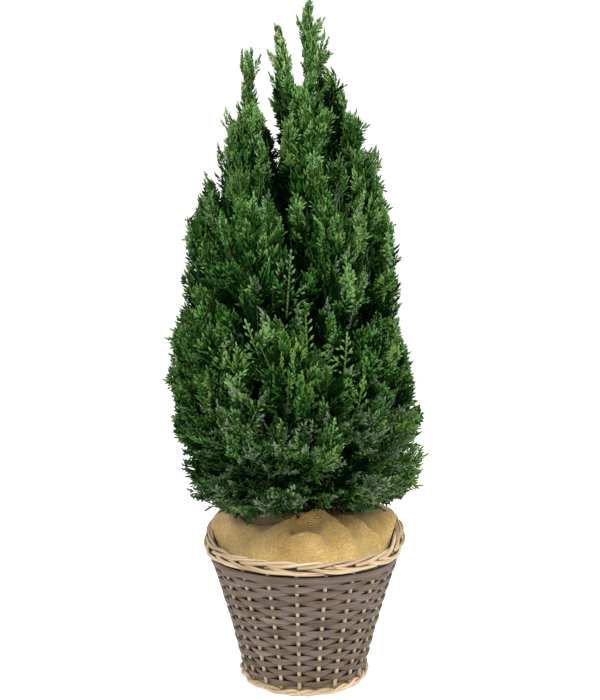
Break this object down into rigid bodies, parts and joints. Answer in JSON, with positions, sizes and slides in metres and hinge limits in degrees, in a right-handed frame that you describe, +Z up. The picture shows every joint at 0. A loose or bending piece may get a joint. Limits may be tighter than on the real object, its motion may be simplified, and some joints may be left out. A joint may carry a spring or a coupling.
{
  "type": "potted false cypress",
  "caption": "Upright evergreen false cypress with feathery sprays and several leading shoots, in a woven willow basket with a plaited rim and jute cloth over the soil.",
  "frame": {"origin": "on the floor, at the middle of the basket's flat underside", "axes": "+Z up along the plant, -Y towards the front that the picture shows, +X to the right of that view"},
  "size_m": [0.3168, 0.3182, 0.8],
  "materials": {
    "willow_grey": "matt, weathered grey-brown split willow",
    "willow_pale": "satin, peeled cream willow rods",
    "jute": "loose open weave, gold-tan",
    "soil": "moist dark compost",
    "bark": "rough, red-brown bark in thin strips",
    "foliage": "scale leaves, dark to blue-green, faint waxy sheen",
    "young_foliage": "scale leaves, fresh green with yellow-brown stems"
  },
  "bodies": {
    "root": {"basket_floor": "willow_pale", "basket_foot": "willow_pale", "basket_wall": "willow_grey", "rim_strand_1": "willow_pale", "rim_strand_2": "willow_pale", "rim_strand_3": "willow_pale", "soil": "soil", "jute_cover": "jute", "trunk": "bark", "bough_skirt_1": "bark", "bough_skirt_2": "bark", "bough_skirt_3": "bark", "bough_skirt_4": "bark", "bough_skirt_5": "bark", "bough_skirt_6": "bark", "bough_skirt_7": "bark", "bough_skirt_8": "bark", "bough_waist_1": "bark", "bough_waist_2": "bark", "bough_waist_3": "bark", "bough_waist_4": "bark", "bough_waist_5": "bark", "bough_waist_6": "bark", "bough_waist_7": "bark", "bough_left_leader": "bark", "bough_middle_leader": "bark", "foliage_skirt_1": "foliage", "foliage_skirt_2": "foliage", "foliage_skirt_3": "foliage", "foliage_skirt_4": "foliage", "foliage_skirt_5": "foliage", "foliage_skirt_6": "foliage", "foliage_skirt_7": "foliage", "foliage_skirt_8": "foliage", "foliage_waist_1": "foliage", "foliage_waist_2": "foliage", "foliage_waist_3": "foliage", "foliage_waist_4": "foliage", "foliage_waist_5": "foliage", "foliage_waist_6": "foliage", "foliage_waist_7": "foliage", "foliage_shoulder_1": "foliage", "foliage_shoulder_2": "foliage", "foliage_shoulder_3": "foliage", "foliage_shoulder_4": "foliage", "foliage_shoulder_5": "foliage", "foliage_shoulder_6": "foliage", "foliage_neck_1": "foliage", "foliage_neck_2": "foliage", "foliage_neck_3": "foliage", "foliage_neck_4": "foliage", "foliage_left_leader": "young_foliage", "foliage_middle_leader": "young_foliage", "foliage_tall_leader": "young_foliage"}
  },
  "joints": []
}
